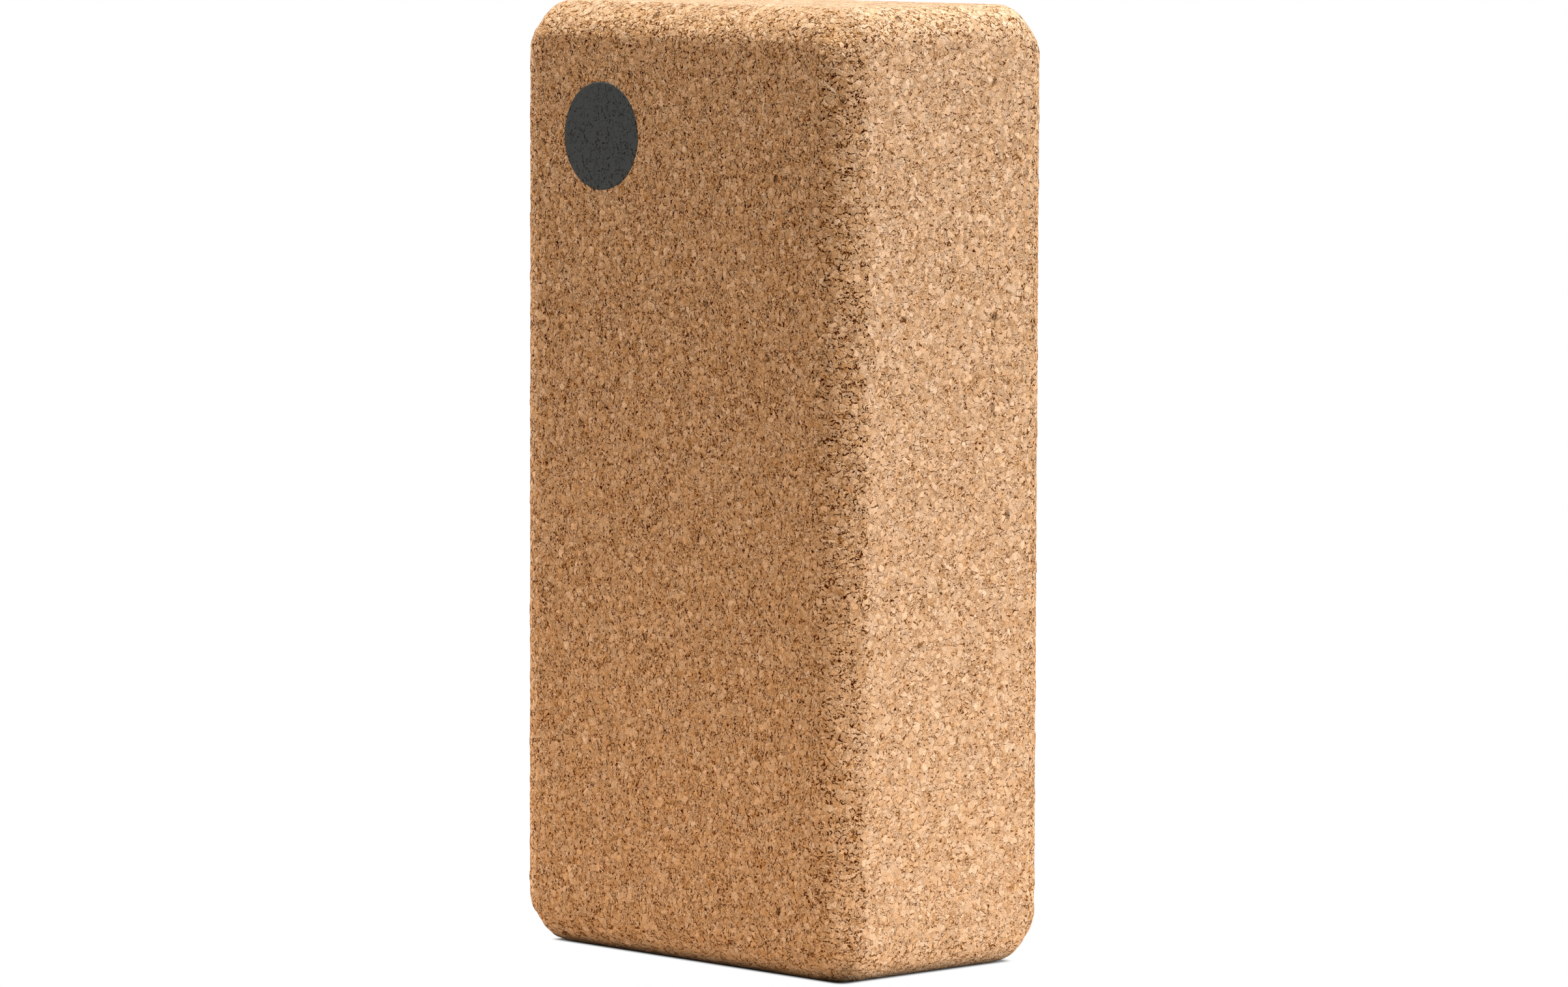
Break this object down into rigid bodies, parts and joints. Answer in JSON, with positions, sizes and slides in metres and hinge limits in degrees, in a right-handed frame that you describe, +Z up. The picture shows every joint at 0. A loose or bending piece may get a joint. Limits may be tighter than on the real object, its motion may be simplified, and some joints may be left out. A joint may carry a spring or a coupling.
{
  "type": "yoga block",
  "caption": "Slim rectangular yoga block of pressed cork granules with well-rounded edges and a plain dark disc printed near one corner; supports hands, hips or back.",
  "frame": {"origin": "centre of the base end, on the surface that the block stands on", "axes": "+Z up along the block's length, +X across its width, +Y through its thickness; the wide face with the printed disc looks along -Y"},
  "size_m": [0.1142, 0.0698, 0.2286],
  "materials": {
    "cork": "pressed cork agglomerate, sanded matt on the flats and coarser on the rounded edges",
    "ink": "flat dark grey printing ink, soaked into the cork",
    "pale_cork": "matt pale cork, sanded flush",
    "russet_cork": "matt reddish cork, sanded flush",
    "bark": "matt dark brown cork bark, sanded flush"
  },
  "bodies": {
    "root": {"cork_body": "cork", "printed_mark": "ink", "pale_granules": "pale_cork", "russet_granules": "russet_cork", "bark_granules": "bark"}
  },
  "joints": []
}
